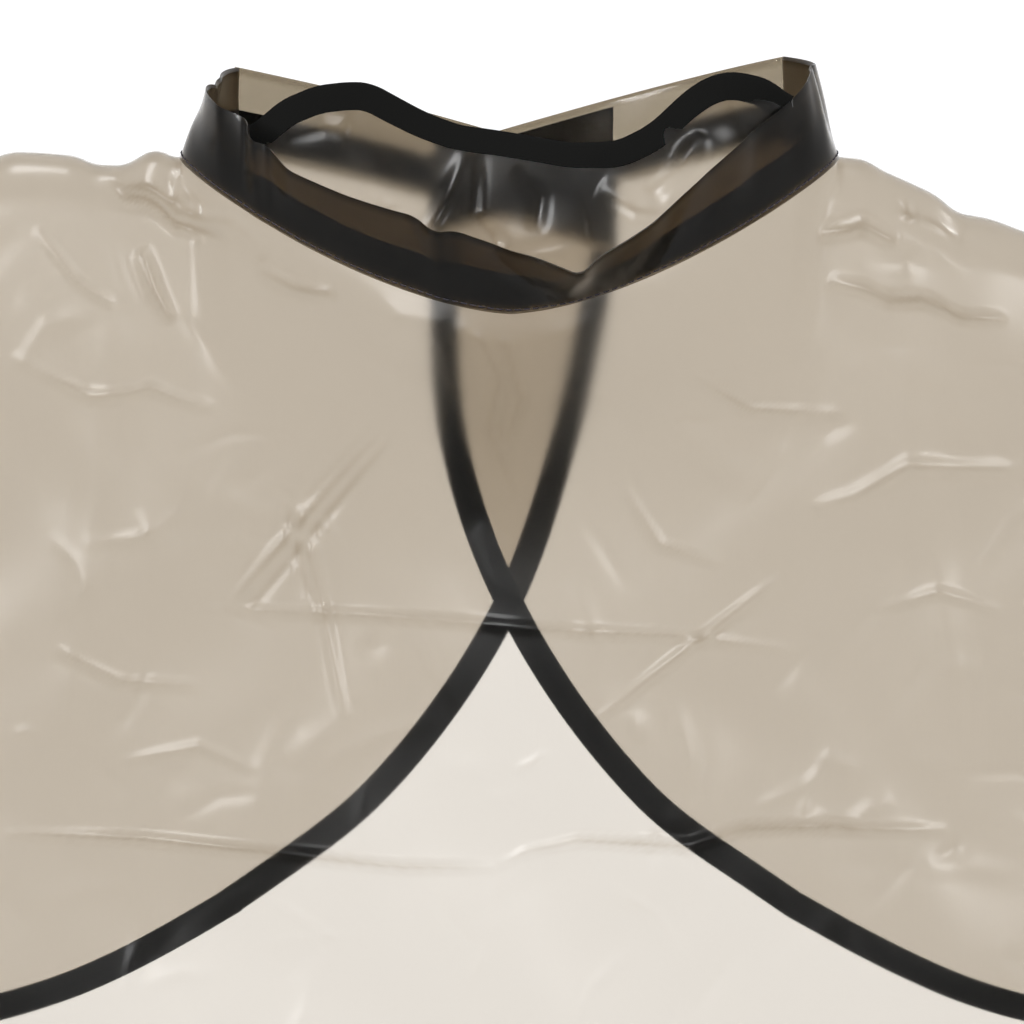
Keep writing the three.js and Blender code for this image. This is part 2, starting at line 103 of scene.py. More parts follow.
# Bound edges of the back: knots as x and z, and the line on which each half opens.
EDGE_AT_FOLD = -298.0
CROSSING = -185.0
UPPER_EDGE = (-26.0, 0.62 * CROSSING)
LOWER_EDGE = (0.48 * HINGE_X, CROSSING + 0.63 * (EDGE_AT_FOLD - CROSSING))
FOLD_TOP = NECK_Y * math.sqrt(1 - (HINGE_X / NECK_X) ** 2)
FOLD_LOW = 5.0
FOLD_LENGTH = 304.0

# How the film settles from the seam to the depth at which it hangs, in front and behind.
FRONT_SETTLING = 55.0
FRONT_REST = 2.0
FRONT_SIDE_REST = 3.0
FRONT_BULGE = 10.0
BULGE_DROP = 40.0
BULGE_LENGTH = 100.0
SIDE_DEPTH_FROM, SIDE_DEPTH_TO = 20.0, 140.0
WAVE_SWING = 7.0
WAVE_START = 350.0
BACK_REST = 3.0
BACK_SETTLING = 70.0
SEAM_SETTLING = 40.0

# Folds of the sides, which radiate from each shoulder's end and turn upright below.
FLUTES_AT_SHOULDER = 3
FLUTE_LENGTH = 190.0
FLUTE_SPREAD = 0.5
FLUTE_LIMIT = 160.0
FLUTE_FLOOR = 0.3
HEM_FLUTE_SHARE = 0.6
FLUTES_MERGE_FROM, FLUTES_MERGE_TO = 200.0, 800.0
FLOOR_PHASE = 0.4
FLOOR_TURN = 0.87
RIPPLE = 6.0
RIPPLE_FROM, RIPPLE_TO = 30.0, 300.0
HEM_FLARE = 0.34
HEM_FLARE_LENGTH = 500.0

# Two places near the hinge of each back half, in m. Strap pieces that are given them are left unattached;
# nothing blends between them.
BLEND_FROM = (0.1055, 0.028, 0.0)
BLEND_TO = (0.085, 0.028, 0.0)

# Painted shade: the film's colour is made darker where it is bent this sharply, in 1/mm, along its
# creases, and on the film behind the neck.
CREASE_SHADE_FROM, CREASE_SHADE_FULLY = 0.02, 0.24
SHADE_TINT_POWER = 1.9
BACK_SHADE_SHARE = 0.2
FILM_IOR = 1.11


# ---- shape of the hanging film ------------------------------------------------------
def lerp(a, b, t):
    return a + (b - a) * t


def smooth(low, high, value):
    t = np.clip((value - low) / (high - low), 0, 1)
    return t * t * (3 - 2 * t)


def neck_depth(x):
    return NECK_Y * np.sqrt(1 - np.minimum(np.abs(x) / NECK_X, 1) ** 2)


def front_seam(x):
    return -NECK_DROP * (1 - np.minimum(np.abs(x) / NECK_X, 1) ** NECK_CURVE)


def back_seam(x, side):
    start = SEAM_AT_HINGE[side]
    run = HINGE_X - side * x
    return np.where(run >= 0, start - STRAP_SLOPE * run, start * (1 + run / (NECK_X - HINGE_X)))


def shoulder(x):
    run = np.maximum(np.abs(x) - NECK_X, 0) / (SHOULDER_X - NECK_X)
    return -SHOULDER_DROP * run ** SHOULDER_CURVE


def settled(x, below, length):
    """How far the film has moved from the seam's depth to its resting depth, 0 to 1."""
    roll = np.sqrt(np.maximum(1 - (1 - np.minimum(below / SHOULDER_ROLL, 1)) ** 2, 0))
    slow = 1 - np.exp(-((below / length) ** 2))
    return lerp(slow, roll, smooth(HINGE_X, NECK_X, np.abs(x)))


def front_depth(x, z):
    """Distance of the front film in front of the form's middle."""
    start = np.where(np.abs(x) < NECK_X, front_seam(x), shoulder(x))
    share = settled(x, np.maximum(start - z, 0), FRONT_SETTLING)
    bulge = FRONT_BULGE * np.exp(-(((z + BULGE_DROP) / BULGE_LENGTH) ** 2))
    side_share = smooth(SIDE_DEPTH_FROM, SIDE_DEPTH_TO, np.abs(x))
    hanging = lerp(FRONT_REST, FRONT_SIDE_REST + bulge, side_share)
    swing = WAVE_SWING * smooth(WAVE_START, FRONT_LENGTH, -z)
    waves = swing * np.cos(2 * np.pi * x / FLUTE_LENGTH)
    return lerp(neck_depth(x), hanging + waves, share)


def fold_depth(z):
    return lerp(FOLD_TOP, FOLD_LOW, np.minimum(np.maximum(-z, 0) / FOLD_LENGTH, 1))


def back_depth(x, z, side):
    """Distance of the back film behind the form's middle."""
    reach = np.abs(x)
    below = np.maximum(back_seam(x, side) - z, 0)
    middle = lerp(BACK_REST, NECK_Y, np.exp(-((below / BACK_SETTLING) ** 2)))
    share = smooth(0, HINGE_X, reach)
    curved = neck_depth(x) - lerp(NECK_Y, FOLD_TOP, share)
    inner = lerp(middle, fold_depth(z), share) + curved * np.exp(-((below / SEAM_SETTLING) ** 2))
    top = np.where(reach < NECK_X, back_seam(x, side), shoulder(x))
    over = np.maximum(top - z, 0)
    outer = lerp(neck_depth(x), fold_depth(z), settled(x, over, SHOULDER_ROLL))
    return np.where(reach <= HINGE_X, inner, outer)


def outer_step(x):
    """How far the outer half, on the left, stands behind the inner one."""
    return STRAP_STEP * smooth(5 - HINGE_X, STRAP_ENDS[1] - 15, x)


def side_point(side, across, along):
    """Where film at (across, along) from a shoulder's end hangs, in its folds."""
    fall = np.maximum(np.hypot(across, along), 1e-6)
    turn = (np.pi / 2 - np.arctan2(along, np.maximum(across, 1e-9))) / np.pi
    low = smooth(FLUTES_MERGE_FROM, FLUTES_MERGE_TO, along)
    phase = lerp(FLUTES_AT_SHOULDER * turn, across / FLUTE_LENGTH, low)
    swing = lerp(1, HEM_FLUTE_SHARE, low) / (1 / (FLUTE_SPREAD * fall) + 1 / FLUTE_LIMIT)
    held = FLUTE_FLOOR * smooth(0, FLOOR_PHASE, phase) * (1 - smooth(FLOOR_TURN, 1, turn))
    out = swing * lerp((1 - np.cos(2 * np.pi * phase)) / 2, 1, held)
    out = out + RIPPLE * np.sin(6 * np.pi * phase) * smooth(RIPPLE_FROM, RIPPLE_TO, fall)
    heading = np.pi * (turn - 0.5)
    z = -SHOULDER_DROP - np.sqrt(np.maximum(fall * fall - out * out, 0))
    edge_x = np.full_like(z, SHOULDER_X)
    front = -front_depth(edge_x, z)
    back = back_depth(edge_x, z, 1)
    x = SHOULDER_X + HEM_FLARE * across * smooth(0, HEM_FLARE_LENGTH, along) + out * np.cos(heading)
    y = lerp(front, back, smooth(0, 1, turn)) + out * np.sin(heading)
    return np.stack([side * x, y, z], -1)


# How much higher the film lies over each shoulder than an even slope: x, rise.
RIDGE = np.array([
    (-235, 22), (-205, 20), (-190, 20.5), (-178, 16), (-165, 10.5), (-159, 5.5), (-147, 1.5),
    (-136, 5), (-127, 0), (127, 0), (136, 1), (142, -1.5), (163, -5), (171, -9.5), (184, -7.5),
    (198, -8), (235, -8),
], float)


def lifted(grid):
    """The film with its ridge over the shoulders as it lies, fading out below."""
    x, z = grid[..., 0], grid[..., 2]
    rise = sum(np.interp(x + d, RIDGE[:, 0], RIDGE[:, 1]) for d in (-2.5, 0, 2.5)) / 3
    rise = rise * smooth(0, 6, np.abs(x) - NECK_X)
    below = np.maximum(shoulder(np.minimum(np.abs(x), SHOULDER_X)) - z, 0)
    moved = grid.copy()
    moved[..., 2] += rise * np.exp(-((below / 75) ** 2))
    return moved


# ---- soft folds and creases of the film, as lines in x and z -------------------------
# Each is (height, half width, points); a positive height stands towards the front.
FRONT_CREASES = [
    (5.0, 4.5, [(-162, -2), (-149, -9), (-127, -17), (-118, -21), (-104, -19), (-93, -32)]),
    (-4.0, 3.0, [(-158, -8), (-146, -15), (-126, -24), (-108, -28)]),
    (3.5, 2.5, [(-126, -1), (-127, -16)]),
    (3.0, 3.0, [(-141, -36), (-135, -52), (-129, -62)]),
    (4.0, 3.5, [(-95, -38), (-81, -44), (-66, -46)]),
    (2.2, 2.8, [(-110, -176), (-79, -139), (-48, -102)]),
    (-1.6, 2.4, [(-102, -178), (-72, -141), (-44, -106)]),
    (1.8, 2.4, [(-81, -131), (-73, -171), (-64, -219)]),
    (-1.6, 2.0, [(-86, -134), (-78, -172)]),
    (1.6, 1.9, [(-119, -175), (-42, -179), (13, -183), (66, -186), (112, -193)]),
    (2.4, 2.0, [(-196, -265), (-147, -267), (-90, -272), (-42, -278), (-5, -279)]),
    (2.4, 2.0, [(-5, -279), (6, -273), (27, -268), (70, -270), (90, -263), (118, -262), (171, -264)]),
    (2.0, 2.0, [(33, -220), (70, -190), (105, -162)]),
    (4.0, 3.0, [(118, -27), (134, -24), (147, -28)]),
    (3.0, 2.4, [(121, -45), (145, -51), (157, -49), (189, -54)]),
    (2.2, 3.5, [(117, -135), (133, -130), (153, -117), (198, -118)]),
    (3.5, 2.4, [(150, -10), (152, -19)]),
    (3.5, 2.4, [(155, -16), (171, -20)]),
    (2.2, 2.6, [(-12, -58), (-4, -77), (-8, -100), (2, -131)]),
    (2.0, 2.4, [(-2, -60), (4, -86), (-2, -114)]),
    (1.8, 2.4, [(-26, -60), (-20, -84), (-27, -110)]),
    (2.2, 7.0, [(-40, -48), (-56, -92), (-84, -130)]),
    (2.2, 7.0, [(30, -50), (50, -96), (96, -128)]),
    (2.0, 8.0, [(-150, -60), (-160, -130), (-172, -230)]),
    (2.0, 8.0, [(150, -70), (163, -150), (176, -240)]),
    (1.4, 2.2, [(-180, -40), (-165, -52), (-150, -56)]),
    (1.6, 2.2, [(-190, -84), (-160, -92), (-138, -88), (-112, -96)]),
    (1.4, 2.0, [(-176, -190), (-150, -204), (-120, -206)]),
    (1.2, 2.0, [(-150, -236), (-120, -230), (-98, -240)]),
    (1.4, 2.2, [(64, -78), (92, -96), (128, -98)]),
    (1.2, 2.0, [(142, -176), (166, -168), (190, -176)]),
    (1.2, 1.8, [(44, -128), (58, -150), (82, -158)]),
]


def line_distance(x, z, points):
    """Distance from the nearest place on a line of points, and that place's share of it."""
    points = np.array(points, float)
    spans = np.hypot(*(points[1:] - points[:-1]).T)
    total = spans.sum()
    best = np.full(x.shape, 1e9)
    where = np.zeros(x.shape)
    run = 0.0
    for a, b, span in zip(points[:-1], points[1:], spans):
        dx, dz = (b - a) / span
        t = np.clip((x - a[0]) * dx + (z - a[1]) * dz, 0, span)
        d = np.hypot(x - a[0] - t * dx, z - a[1] - t * dz)
        near = d < best
        best = np.where(near, d, best)
        where = np.where(near, (run + t) / total, where)
        run += span
    return best, where


def creases(x, z, lines):
    """Relief of the given crease lines, each fading out towards its ends."""
    total = np.zeros(x.shape)
    for height, width, points in lines:
        d, share = line_distance(x, z, points)
        fade = np.clip(4 * share * (1 - share), 0, 1) ** 0.5
        total += 0.75 * height * fade * np.exp(-((d / width) ** 2))
    return total


def small_creases(x, z, seed, count, low, high):
    """Short creases in all directions, as handling leaves them in film."""
    draw = np.random.default_rng(seed)
    total = np.zeros(x.shape)
    for _ in range(count):
        at = np.array([draw.uniform(-230, 230), draw.uniform(low, high)])
        angle = draw.uniform(0, np.pi)
        length, bend = draw.uniform(12, 55), draw.uniform(-0.5, 0.5)
        height, width = draw.uniform(0.2, 0.7) * draw.choice([-1, 1]), draw.uniform(2.2, 5.0)
        near = np.hypot(x - at[0], z - at[1]) < length
        a, b = (np.array([math.cos(t), math.sin(t)]) * length / 2 for t in (angle, angle + bend))
        d, share = line_distance(x[near], z[near], [at - a, at, at + b])
        fade = np.clip(4 * share * (1 - share), 0, 1)
        total[near] += height * fade * np.exp(-((d / width) ** 2))
    return total


def unevenness(x, z):
    """Slow swells and a finer ripple, as heat and folding leave them in film."""
    slow = np.sin(x / 31 + 1.3 * np.sin(z / 47)) * np.sin(z / 39 + 0.9 * np.sin(x / 53))
    fine = np.sin(x / 11.3 + 2.1 * np.sin(z / 29 + x / 71)) * np.sin(z / 17.1 + 1.7 * np.sin(x / 23))
    return 2.4 * slow + 0.55 * fine


# ---- meshes ---------------------------------------------------------------------------
def grid_faces(rows, columns, first=0, flip=False):
    i, j = np.meshgrid(np.arange(rows - 1), np.arange(columns - 1), indexing="ij")
    a = (i * columns + j).ravel() + first
    quads = np.stack([a, a + columns, a + columns + 1, a + 1], 1)
    return quads[:, ::-1] if flip else quads


def weld(points, quads):
    """Joins points that coincide and returns points and faces, without collapsed faces."""
    keys = np.round(points, 3)
    _, first, index = np.unique(keys, axis=0, return_index=True, return_inverse=True)
    index = index.reshape(-1)
    faces = []
    for quad in index[quads]:
        face = [v for k, v in enumerate(quad) if v != quad[k - 1]]
        if len(face) > 2:
            faces.append(face)
    return points[first], faces


def thicken(points, faces, thickness):
    """A closed film of even thickness on both sides of a surface."""
    fan = [(f[0], f[k], f[k + 1]) for f in faces for k in range(1, len(f) - 1)]
    tris = np.array(fan)
    a, b, c = points[tris[:, 0]], points[tris[:, 1]], points[tris[:, 2]]
    face_normals = np.cross(b - a, c - a)
    normals = np.zeros_like(points)
    for k in range(3):
        np.add.at(normals, tris[:, k], face_normals)
    normals /= np.maximum(np.linalg.norm(normals, axis=1, keepdims=True), 1e-9)
    count = len(points)
    both = np.concatenate([points + normals * thickness / 2, points - normals * thickness / 2])
    edges = {}
    for f in faces:
        for k, v in enumerate(f):
            edges[(f[k - 1], v)] = True
    rim = [[b, a, a + count, b + count] for (a, b) in edges if (b, a) not in edges]
    back = [[v + count for v in reversed(f)] for f in faces]
    return both, [list(f) for f in faces] + back + rim


def make(name, points, faces, material, crisp=50):
    """An object from points in millimetres."""
    mesh = bpy.data.meshes.new(name)
    mesh.from_pydata((np.asarray(points) * MM).tolist(), [], faces)
    mesh.validate()
    mesh.polygons.foreach_set("use_smooth", [True] * len(mesh.polygons))
    mesh.set_sharp_from_angle(angle=math.radians(crisp))
    mesh.materials.append(material)
    obj = bpy.data.objects.new(name, mesh)
    bpy.context.scene.collection.objects.link(obj)
    return obj


def mark_painted_shade(piece):
    """Stores painted shade at each point, from 0 to 1: how much darker the film's colour is made where it
    is bent or at the back.
    """
    mesh = piece.data
    count = len(mesh.vertices)
    spots, normals = np.empty(count * 3), np.empty(count * 3)
    mesh.vertices.foreach_get("co", spots)
    mesh.vertex_normals.foreach_get("vector", normals)
    spots, normals = spots.reshape(-1, 3) / MM, normals.reshape(-1, 3)
    ends = np.empty(len(mesh.edges) * 2, int)
    mesh.edges.foreach_get("vertices", ends)
    ends = ends.reshape(-1, 2)
    run = spots[ends[:, 1]] - spots[ends[:, 0]]
    length = np.linalg.norm(run, axis=1)
    on_rim = np.zeros(count, bool)
    on_rim[ends[length < 0.3].ravel()] = True
    inner = ~on_rim[ends].any(1)
    a, b = ends[inner].T
    bend = np.abs(((normals[b] - normals[a]) * run[inner]).sum(1)) / length[inner] ** 2
    total = np.bincount(a, bend, count) + np.bincount(b, bend, count)
    meetings = np.bincount(a, minlength=count) + np.bincount(b, minlength=count)
    # Painted shade along creases: the sharper the bend, the darker the film's colour.
    fold = smooth(CREASE_SHADE_FROM, CREASE_SHADE_FULLY, total / np.maximum(meetings, 1))
    # Painted shade on the film behind the form's middle.
    behind = BACK_SHADE_SHARE * smooth(-5, 20, spots[:, 1])
    # The 'fold' attribute carries this painted shade to the film's material.
    mesh.attributes.new("fold", "FLOAT", "POINT").data.foreach_set("value", np.maximum(fold, behind))


def film_object(name, grids, thickness, material):
    """One film from several grids of points that share edges; a grid may be mirrored."""
    points, quads, first = [], [], 0
    for grid, flip in grids:
        rows, columns, _ = grid.shape
        points.append(grid.reshape(-1, 3))
        quads.append(grid_faces(rows, columns, first, flip))
        first += rows * columns
    welded, faces = weld(np.concatenate(points), np.concatenate(quads))
    film = make(name, *thicken(welded, faces, thickness), material)
    mark_painted_shade(film)
    return film


def tube(name, sections, material):
    """A solid from cross-sections: sections is (stations, ring, 3)."""
    stations, ring, _ = sections.shape
    points = sections.reshape(-1, 3)
    faces = []
    for i in range(stations - 1):
        for j in range(ring):
            k = (j + 1) % ring
            faces.append([i * ring + j, i * ring + k, (i + 1) * ring + k, (i + 1) * ring + j])
    faces.append(list(range(ring))[::-1])
    faces.append([(stations - 1) * ring + j for j in range(ring)])
    return make(name, points, faces, material)


def unit(v):
    return v / np.maximum(np.linalg.norm(v, axis=-1, keepdims=True), 1e-9)


def folded_tape(name, edge, inside, width, material, half=0.55):
    """Tape folded over an edge: edge and inside are matching points on the film."""
    tangent = unit(np.gradient(edge, axis=0))
    normal = unit(np.cross(tangent, inside - edge))
    inward = unit(np.cross(normal, tangent))
    inward *= np.sign((inward * (inside - edge)).sum(-1, keepdims=True))
    across = [(width, 0.62), (0.6 * width, 1.0), (1.0, 1.0), (-0.3, 0.75), (-0.7, 0.0)]
    profile = across + [(a, -h) for a, h in across[:-1][::-1]]
    rings = [edge + inward * a + normal * h * half for a, h in profile]
    return tube(name, np.stack(rings, 1), material)


def stitches(name, path, normal, material, length=2.4, radius=0.28):
    """A row of separate stitches along a path of close points."""
    step = np.linalg.norm(np.diff(path, axis=0), axis=1)
    run = np.concatenate([[0], np.cumsum(step)])
    starts = np.arange(STITCH_PITCH / 2, run[-1] - length, STITCH_PITCH)
    points, faces = [], []
    shape = [(0.0, 0.35), (0.2, 1.0), (0.8, 1.0), (1.0, 0.35)]
    for start in starts:
        first = len(points)
        for share, lift in shape:
            at = start + share * length
            centre = np.array([np.interp(at, run, path[:, k]) for k in range(3)])
            out = unit(np.array([np.interp(at, run, normal[:, k]) for k in range(3)]))
            ahead = np.array([np.interp(at + 0.5, run, path[:, k]) for k in range(3)])
            behind = np.array([np.interp(at - 0.5, run, path[:, k]) for k in range(3)])
            side = unit(np.cross(ahead - behind, out))
            centre = centre + out * radius * (lift - 0.5)
            for k in range(6):
                angle = math.pi * k / 3
                spot = centre + radius * (math.cos(angle) * side + math.sin(angle) * out)
                points.append(spot)
        for i in range(3):
            for k in range(6):
                a, b = first + 6 * i + k, first + 6 * i + (k + 1) % 6
                faces.append([a, b, b + 6, a + 6])
        faces.append([first + k for k in range(6)][::-1])
        faces.append([first + 18 + k for k in range(6)])
    return make(name, points, faces, material, crisp=80)


# ---- materials ----------------------------------------------------------------------
def new_material(name):
    material = bpy.data.materials.new(name)
    material.use_nodes = True
    nodes = material.node_tree.nodes
    return material, nodes, material.node_tree.links, nodes["Principled BSDF"]


def grain(nodes, links, shader, scale, stretch, strength, detail=2.0, distance=0.0002):
    """A fine procedural relief, stretched by different amounts along each axis."""
    place = nodes.new("ShaderNodeTexCoord")
    mapping = nodes.new("ShaderNodeMapping")
    mapping.inputs["Scale"].default_value = stretch
    noise = nodes.new("ShaderNodeTexNoise")
    noise.inputs["Scale"].default_value = scale
    noise.inputs["Detail"].default_value = detail
    bump = nodes.new("ShaderNodeBump")
    bump.inputs["Strength"].default_value = strength
    bump.inputs["Distance"].default_value = distance
    links.new(place.outputs["Object"], mapping.inputs["Vector"])
    links.new(mapping.outputs["Vector"], noise.inputs["Vector"])
    links.new(noise.outputs["Fac"], bump.inputs["Height"])
    links.new(bump.outputs["Normal"], shader.inputs["Normal"])


def film_material(name, tint, roughness, coat, gloss):
    material, nodes, links, shader = new_material(name)
    # Painted shade: the 'fold' attribute mixes the tint towards a darker tint along creases and on the
    # film behind the neck.
    fold = nodes.new("ShaderNodeAttribute")
    fold.attribute_name = "fold"
    blend = nodes.new("ShaderNodeMix")
    blend.data_type = "RGBA"
    blend.inputs[6].default_value = (*tint, 1)
    blend.inputs[7].default_value = (*(share ** SHADE_TINT_POWER for share in tint), 1)
    links.new(fold.outputs["Fac"], blend.inputs[0])
    links.new(blend.outputs[2], shader.inputs["Base Color"])
    shader.inputs["Roughness"].default_value = roughness
    shader.inputs["IOR"].default_value = FILM_IOR
    shader.inputs["Transmission Weight"].default_value = 1.0
    shader.inputs["Coat Weight"].default_value = 1.0
    shader.inputs["Coat Roughness"].default_value = coat
    shader.inputs["Coat IOR"].default_value = gloss
    grain(nodes, links, shader, 600, (1.0, 1.0, 0.12), 0.1)
    return material


def fabric_material(name, color, roughness, scale, stretch, strength):
    material, nodes, links, shader = new_material(name)
    shader.inputs["Base Color"].default_value = (*color, 1)
    shader.inputs["Roughness"].default_value = roughness
    shader.inputs["IOR"].default_value = 1.08
    grain(nodes, links, shader, scale, stretch, strength, detail=3.0, distance=0.0003)
    return material


MATERIALS = {}


def build_materials(settings):
    tint = tuple(settings.film_tint)
    MATERIALS["film"] = film_material("frosted_film", tint, settings.film_roughness, 0.22, 1.11)
    # Painted shade: the collar's front ply gets a much darker tint than the straps' ply, standing in for
    # the shaded inside of the cape seen through it.
    front_shaded_tint = tuple(settings.collar_front_tint)
    MATERIALS["collar_front"] = film_material("collar_front_film", front_shaded_tint, 0.3, 0.08, 1.19)
    collar_tint = tuple(settings.collar_tint)
    MATERIALS["collar_film"] = film_material("collar_film", collar_tint, 0.25, 0.1, 1.15)
    MATERIALS["binding_tape"] = fabric_material(
        "binding_tape", (0.0012, 0.0012, 0.0011), 0.8, 900, (1.0, 1.0, 1.0), 0.5
    )
    MATERIALS["collar_tape"] = fabric_material(
        "collar_tape", (0.001, 0.001, 0.001), 0.8, 900, (1.0, 1.0, 1.0), 0.4
    )
    MATERIALS["hook_tape"] = fabric_material(
        "hook_tape", (0.002, 0.002, 0.002), 0.85, 700, (1.0, 1.0, 1.0), 1.0
    )
    MATERIALS["loop_tape"] = fabric_material(
        "loop_tape", (0.002, 0.002, 0.002), 0.95, 500, (1.0, 1.0, 1.0), 1.0
    )
    MATERIALS["thread"] = fabric_material(
        "sewing_thread", (0.012, 0.011, 0.014), 0.5, 1500, (1.0, 1.0, 1.0), 0.4
    )


def blend_places(side):
    """Two places on one back half, mirrored to its side; only their presence is read."""
    return [(side * x, y, z) for x, y, z in (BLEND_FROM, BLEND_TO)]


# ---- the film of the body -------------------------------------------------------------
# Shares of the fall at which the film has points: close together where it creases.
FALL_SHARES = np.concatenate([np.linspace(0, 0.34, 231)[:-1], np.linspace(0.34, 1, 78)])
SHOULDER_COLUMNS = np.linspace(NECK_X, SHOULDER_X, 74)
NECK_COLUMNS = np.linspace(-NECK_X, NECK_X, 169)


def front_grid():
    x = np.concatenate([-SHOULDER_COLUMNS[:0:-1], NECK_COLUMNS, SHOULDER_COLUMNS[1:]])
    top = np.where(np.abs(x) < NECK_X, front_seam(x), shoulder(x))
    z = top[:, None] - (FRONT_LENGTH + top[:, None]) * FALL_SHARES[None, :]
    x = np.repeat(x[:, None], len(FALL_SHARES), 1)
    grid = np.stack([x, -front_depth(x, z), z], -1)
    lift = creases(x, z, FRONT_CREASES) + unevenness(x, z)
    lift += small_creases(x, z, 7, 150, -330, -10) + small_creases(x, z, 8, 60, -900, -330)
    ends = smooth(0, 12, SHOULDER_X - np.abs(x)) * smooth(0, 14, top[:, None] - z)
    grid[..., 1] -= lift * ends
    return lifted(grid)


def outline():
    """The flat outline beyond the shoulder's end, as (across, along)."""
    reach = HALF_WIDTH - SHOULDER_X
    hem = FRONT_LENGTH - SHOULDER_DROP

    def line(start, end, count):
        return [lerp(np.array(start), np.array(end), t) for t in np.linspace(0, 1, count)]

    def arc(centre, radius, start, end, count):
        turns = np.linspace(start, end, count)
        return [np.array(centre) + radius * np.array([math.cos(t), math.sin(t)]) for t in turns]

    front = arc((reach - FRONT_CORNER, hem - FRONT_CORNER), FRONT_CORNER, math.pi / 2, 0, 14)
    back = arc((reach - BACK_CORNER, BACK_CORNER - BACK_LENGTH), BACK_CORNER, 0, -math.pi / 2, 20)
    run = line((0, hem), front[0], 12)[:-1] + front + line(front[-1], back[0], 46)[1:-1]
    return np.array(run + back + line(back[-1], (0, -BACK_LENGTH), 14)[1:])


def side_grid(side):
    edge = outline()
    across = edge[:, :1] * FALL_SHARES[None, :]
    along = edge[:, 1:] * FALL_SHARES[None, :]
    return lifted(side_point(side, across, along))


def outer_edge(reach):
    share = (reach - HINGE_X) / (SHOULDER_X - HINGE_X)
    return lerp(EDGE_AT_FOLD, -SHOULDER_DROP - BACK_LENGTH, np.sin(share * np.pi / 2))


def back_panel_grid(side):
    reach = np.concatenate([np.linspace(HINGE_X, NECK_X, 11)[:-1], SHOULDER_COLUMNS])
    top = np.where(reach < NECK_X, back_seam(side * reach, side), shoulder(reach))
    z = top[:, None] + (outer_edge(reach) - top)[:, None] * FALL_SHARES[None, :]
    x = np.repeat(side * reach[:, None], len(FALL_SHARES), 1)
    grid = np.stack([x, back_depth(x, z, side), z], -1)
    held = smooth(0, 15, np.abs(x) - HINGE_X) * smooth(0, 15, SHOULDER_X - np.abs(x))
    relief = 0.8 * unevenness(x + 200, z) + 0.8 * small_creases(x, z, 31 + side, 60, -330, -20)
    grid[..., 1] += relief * held * smooth(0, 14, top[:, None] - z)
    return lifted(grid)


def edge_curve(side, count):
    """The bound edge of a back half, as x and z, from its strap's end to the fold line."""
    end = STRAP_ENDS[side]
    seam = float(back_seam(np.array(side * end), side))
    knots = np.array([
        (end, seam), UPPER_EDGE, (0, CROSSING), LOWER_EDGE, (HINGE_X, EDGE_AT_FOLD),
    ])
    knots = np.vstack([2 * knots[0] - knots[1], knots, 2 * knots[-1] - knots[-2]])
    points = []
    for share in np.linspace(0, 1, count):
        spot = min(share * 4, 3.999999)
        k = int(spot)
        p0, p1, p2, p3 = knots[k:k + 4]
        d0, d1, d2 = (np.linalg.norm(b - a) ** 0.5 for a, b in ((p0, p1), (p1, p2), (p2, p3)))
        t1 = ((p1 - p0) / d0 - (p2 - p0) / (d0 + d1) + (p2 - p1) / d1) * d1
        t2 = ((p2 - p1) / d1 - (p3 - p1) / (d1 + d2) + (p3 - p2) / d2) * d1
        t = spot - k
        points.append(
            (2 * t ** 3 - 3 * t ** 2 + 1) * p1 + (t ** 3 - 2 * t ** 2 + t) * t1
            + (3 * t ** 2 - 2 * t ** 3) * p2 + (t ** 3 - t ** 2) * t2
        )
    return np.array(points)


def flap_grid(side):
    rows = 150
    rim = edge_curve(side, rows)[:-1]
    share = np.linspace(0, 1, rows)[:-1]
    top = float(back_seam(np.array(side * HINGE_X), side))
    fold = np.stack([np.full(rows - 1, HINGE_X), lerp(top, EDGE_AT_FOLD, share)], -1)
    t = np.linspace(0, 1, 64)
    flat = rim[:, None] + (fold - rim)[:, None] * t[None, :, None]
    x, z = side * flat[..., 0], flat[..., 1]
    y = back_depth(x, z, side)
    if side < 0:
        y = y + outer_step(x)
    held = smooth(0, 15, HINGE_X - np.abs(x)) * smooth(0, 20, back_seam(x, side) - z)
    relief = 0.9 * unevenness(x - 90, z + 40) * (0.4 if side > 0 else 1.0)
    relief += 0.7 * small_creases(x, z, 21 + side, 60, -300, -20)
    y = y + relief * held
    return np.stack([x, y, z], -1)


def build_body_film(settings):
    thickness = settings.film_thickness / MM
    grids = [(front_grid(), False)]
    for side in (-1, 1):
        grids.append((side_grid(side), side < 0))
        grids.append((back_panel_grid(side), side > 0))
    film = film_object("body_film", grids, thickness, MATERIALS["film"])
    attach(film, "cape")
    nodes = ["front_sheet"]
    for label in ("left", "right"):
        nodes += [f"{label}_front_fall", f"{label}_back_fall", f"{label}_back_panel"]
    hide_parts(*nodes)


def build_back_films(settings):
    thickness = settings.film_thickness / MM
    for side, label in ((-1, "left"), (1, "right")):
        grid = flap_grid(side)
        film = film_object(f"{label}_back_film", [(grid, side > 0)], thickness, MATERIALS["film"])
        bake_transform(film)
        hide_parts(f"{label}_back_flap")


